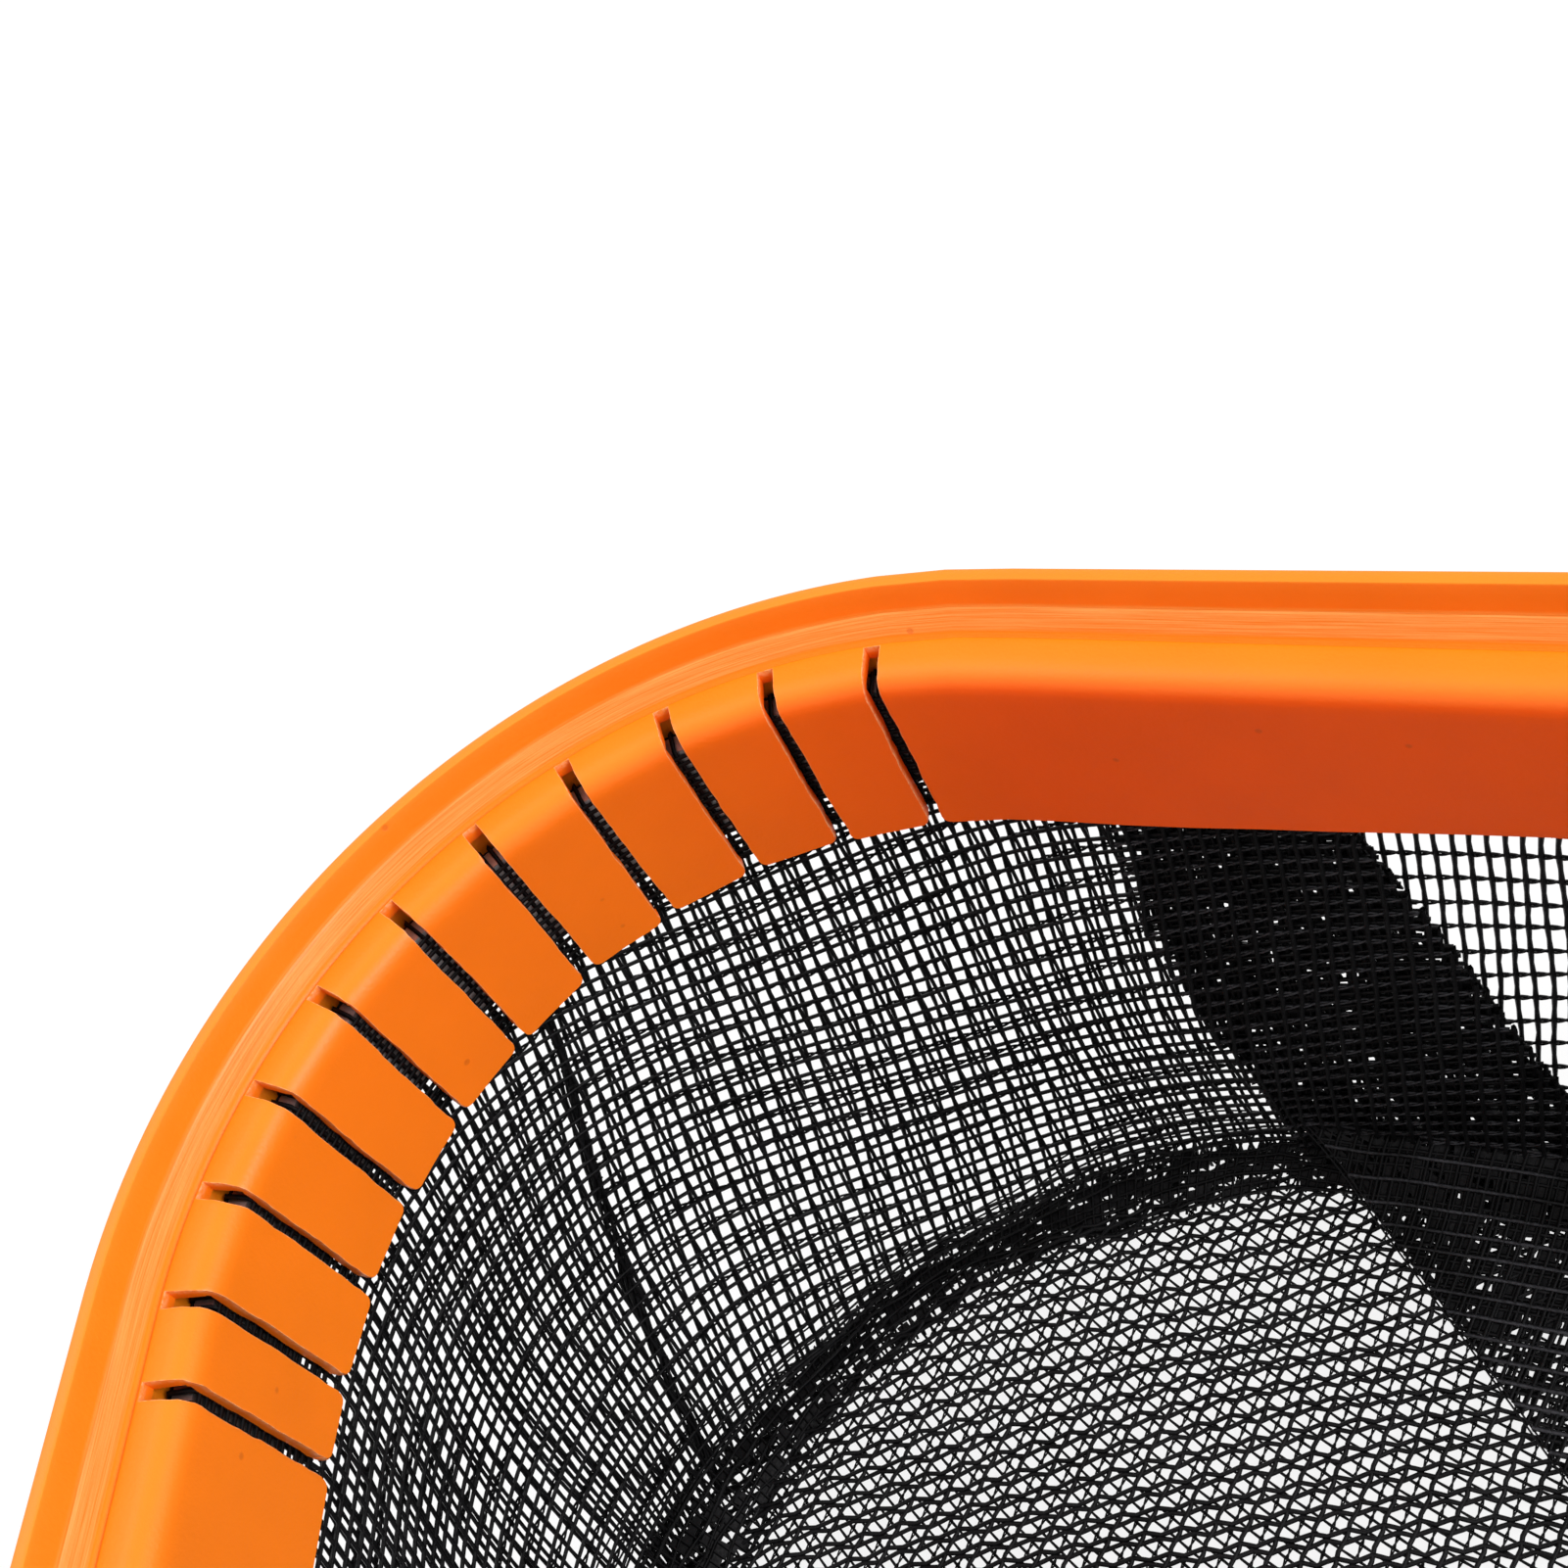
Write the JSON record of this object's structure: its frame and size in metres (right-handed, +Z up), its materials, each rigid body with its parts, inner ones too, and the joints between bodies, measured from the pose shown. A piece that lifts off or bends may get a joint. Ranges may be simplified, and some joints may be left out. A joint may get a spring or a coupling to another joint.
{
  "type": "leaf skimmer net",
  "caption": "Shallow double-layer mesh bag on a bent metal hoop with a slit plastic scoop edge and a handle tube with spring buttons.",
  "frame": {"origin": "floor level under the middle of the whole length, from the front lip to the end of the handle tube", "axes": "+Y forward, away from the handle; +Z up out of the bag; +X to the right"},
  "size_m": [0.5, 0.5816, 0.0979],
  "materials": {
    "scoop_edge": "extruded orange plastic, satin, with fine draw lines",
    "hoop": "mill finish aluminium strip",
    "net": "black woven open mesh, about 2 mm pitch",
    "seam": "black folded mesh seam",
    "bracket": "moulded black nylon, fine grain",
    "tube": "drawn and anodised aluminium tube",
    "rivets": "plain aluminium rivets",
    "fasteners": "stainless steel bolts and nuts",
    "spring_clip": "stainless spring steel"
  },
  "bodies": {
    "root": {"scoop_edge": "scoop_edge", "frame_hoop": "hoop", "backing_plate": "hoop", "net_hem": "net", "net_outer_layer": "net", "net_inner_layer": "net", "bottom_seam": "seam", "edge_rivet_left": "rivets", "edge_rivet_right": "rivets", "handle_bracket": "bracket", "pole_stop": "bracket", "handle_tube": "tube", "tube_bolt": "fasteners", "tube_nut": "fasteners", "clip_spine": "spring_clip", "bracket_bolt_1": "fasteners", "bracket_nut_1": "fasteners", "bracket_bolt_2": "fasteners", "bracket_nut_2": "fasteners", "bracket_bolt_3": "fasteners", "bracket_nut_3": "fasteners", "bracket_bolt_4": "fasteners", "bracket_nut_4": "fasteners"},
    "left_clip_arm": {"clip_arm_left": "spring_clip", "clip_button_left": "spring_clip"},
    "right_clip_arm": {"clip_arm_right": "spring_clip", "clip_button_right": "spring_clip"}
  },
  "joints": [
    {"name": "left_button_press", "type": "hinge", "parent": "root", "child": "left_clip_arm", "pos_m": [-0.01176, -0.20583, 0.07375], "axis": [0, 0, 1], "range_deg": [0, 4.3], "stiffness_Nm_per_rad": 4, "springref_deg": -1.72},
    {"name": "right_button_press", "type": "hinge", "parent": "root", "child": "right_clip_arm", "pos_m": [0.01176, -0.20583, 0.07375], "axis": [0, 0, -1], "range_deg": [0, 4.3], "stiffness_Nm_per_rad": 4, "springref_deg": -1.72}
  ]
}
